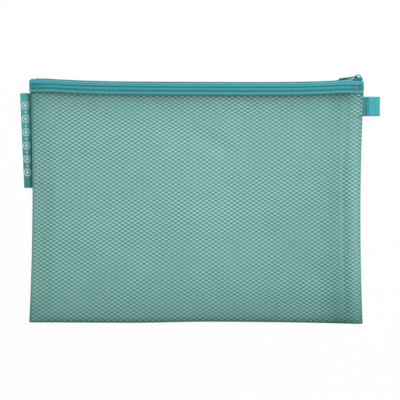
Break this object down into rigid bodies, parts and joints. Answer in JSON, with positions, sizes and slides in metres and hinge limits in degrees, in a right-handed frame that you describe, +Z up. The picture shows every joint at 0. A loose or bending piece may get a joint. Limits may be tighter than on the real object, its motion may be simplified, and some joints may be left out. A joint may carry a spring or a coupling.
{
  "type": "zipper pouch",
  "caption": "Flat document pouch of mesh-reinforced film, closed along its top edge by a folded-over coil zipper, with a webbing loop and a ribbon label in its side seams.",
  "frame": {"origin": "on the plane that the pouch lies on, under the middle of its rectangle, leaving out the loop and the label", "axes": "+X along the zipper towards its closed end, +Y across the pouch towards the zipper, +Z up out of the front panel"},
  "size_m": [0.3661, 0.2535, 0.0095],
  "materials": {
    "mesh_film": "translucent satin film over a woven diamond scrim",
    "zipper_tape": "woven polyester tape with fine cross ribs",
    "coil_nylon": "dyed nylon monofilament",
    "slider_paint": "gloss enamel on die-cast zinc",
    "webbing": "ribbed grosgrain webbing",
    "label_ribbon": "satin woven ribbon"
  },
  "bodies": {
    "pouch": {"front_panel": "mesh_film", "back_panel": "mesh_film", "front_zipper_tape": "zipper_tape", "back_zipper_tape": "zipper_tape", "front_coil": "coil_nylon", "back_coil": "coil_nylon", "side_loop_tail": "webbing", "label_tail": "label_ribbon"},
    "slider": {"slider_body": "slider_paint"},
    "pull": {"pull_tab": "slider_paint"},
    "loop": {"side_loop": "webbing"},
    "label": {"label_ribbon": "label_ribbon"}
  },
  "joints": [
    {"name": "slider_slide", "type": "slide", "parent": "pouch", "child": "slider", "axis": [-1, 0, 0], "range_m": [0, 0.322], "deforming": ["front_coil", "back_coil"]},
    {"name": "pull_tab_swing", "type": "hinge", "parent": "slider", "child": "pull", "pos_m": [0.1629, 0.1275, 0.00475], "axis": [0, 0, -1], "range_deg": [0, 162]},
    {"name": "side_loop_flex", "type": "hinge", "parent": "pouch", "child": "loop", "pos_m": [0.17021, 0.0971, 0.00428], "axis": [0, -0.9994, -0.034], "range_deg": [-90, 90], "stiffness_Nm_per_rad": 0.003},
    {"name": "label_flex", "type": "hinge", "parent": "pouch", "child": "label", "pos_m": [-0.16869, 0.06185, 0.00308], "axis": [-0.0249, 0.9991, 0.034], "range_deg": [-90, 90], "stiffness_Nm_per_rad": 0.001}
  ]
}
